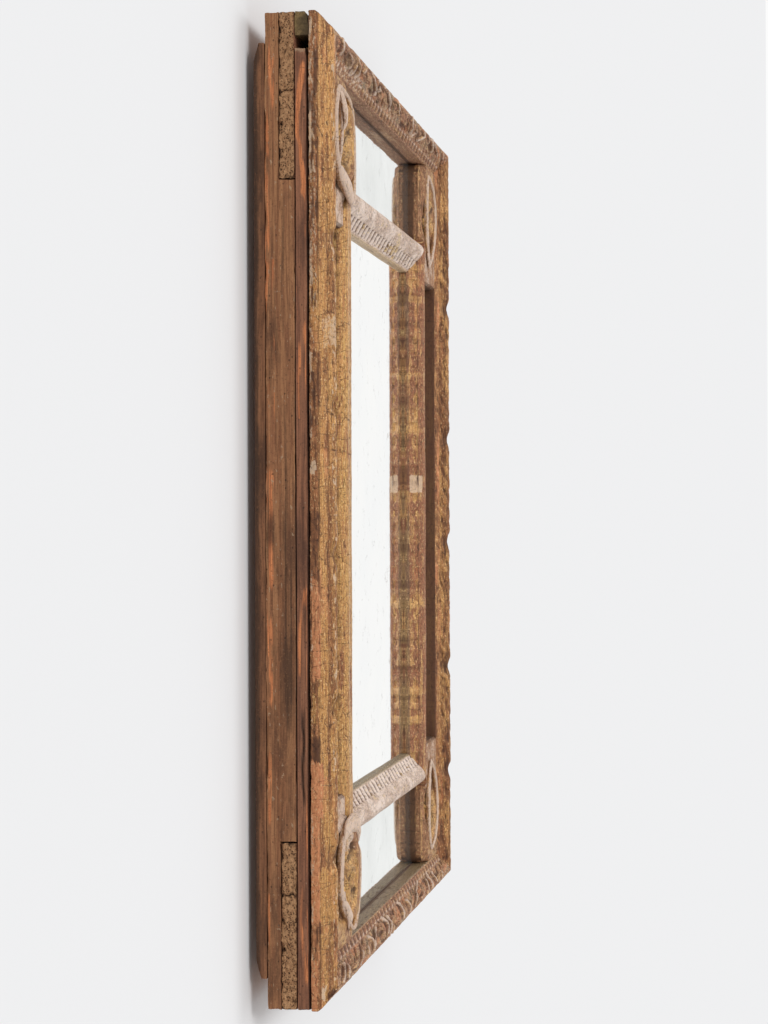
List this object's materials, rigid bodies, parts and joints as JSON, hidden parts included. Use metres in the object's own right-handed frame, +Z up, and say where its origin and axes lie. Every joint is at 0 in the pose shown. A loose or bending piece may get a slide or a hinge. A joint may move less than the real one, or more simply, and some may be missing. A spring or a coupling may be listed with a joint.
{
  "type": "gilded wall mirror",
  "caption": "Rectangular wall mirror with a carved, worn gilt frame, bordering panes round a central pane, scrolled corners, boarded back and iron hanging rings.",
  "frame": {"origin": "middle of the rear face of the back boards, which is the face that rests on the wall", "axes": "+X to the viewer's right when facing the mirror, +Z up, +Y towards the wall, so the glass faces -Y"},
  "size_m": [0.826, 0.08, 1],
  "materials": {
    "carcass": "old reddish softwood, dry and worm-eaten at the end grain",
    "back_wood": "dark oxidised softwood boards, unfinished",
    "peg_wood": "oak, cut flush",
    "lath_wood": "softwood with stains of red bole",
    "gilded_outer": "carved wood, worn gilding over gesso and red bole",
    "gilded_inner": "carved wood, rubbed gilding over pinkish gesso",
    "gilded_scroll": "carved wood, worn gilding over gesso",
    "silvered_glass": "old silvered glass, slightly foxed",
    "forged_iron": "forged iron, dark with age"
  },
  "bodies": {
    "frame": {"carcass_stile_left": "carcass", "carcass_stile_right": "carcass", "carcass_rail_top": "carcass", "carcass_rail_bottom": "carcass", "back_board_1": "back_wood", "back_board_2": "back_wood", "back_board_3": "back_wood", "back_board_4": "back_wood", "back_board_5": "back_wood", "corner_pegs": "peg_wood", "lath_left": "lath_wood", "lath_right": "lath_wood", "lath_top": "lath_wood", "lath_bottom": "lath_wood", "outer_moulding_left": "gilded_outer", "outer_moulding_right": "gilded_outer", "outer_moulding_top": "gilded_outer", "outer_moulding_bottom": "gilded_outer", "inner_moulding_left": "gilded_inner", "inner_moulding_right": "gilded_inner", "inner_moulding_top": "gilded_inner", "inner_moulding_bottom": "gilded_inner", "corner_scroll_top_left": "gilded_scroll", "corner_scroll_top_right": "gilded_scroll", "corner_scroll_bottom_left": "gilded_scroll", "corner_scroll_bottom_right": "gilded_scroll", "glass_centre": "silvered_glass", "glass_top": "silvered_glass", "glass_bottom": "silvered_glass", "glass_left": "silvered_glass", "glass_right": "silvered_glass", "back_nails": "forged_iron", "outer_nails": "forged_iron", "inner_nails": "forged_iron", "scroll_nails": "forged_iron", "staple_left": "forged_iron", "staple_right": "forged_iron"},
    "ring_left": {"hanging_ring_left": "forged_iron"},
    "ring_right": {"hanging_ring_right": "forged_iron"}
  },
  "joints": [
    {"name": "ring_left_swing", "type": "hinge", "parent": "frame", "child": "ring_left", "pos_m": [-0.2, -0.0086, 0.491], "axis": [1, 0, 0], "range_deg": [0, 180]},
    {"name": "ring_right_swing", "type": "hinge", "parent": "frame", "child": "ring_right", "pos_m": [0.2, -0.0086, 0.491], "axis": [1, 0, 0], "range_deg": [0, 180]}
  ]
}
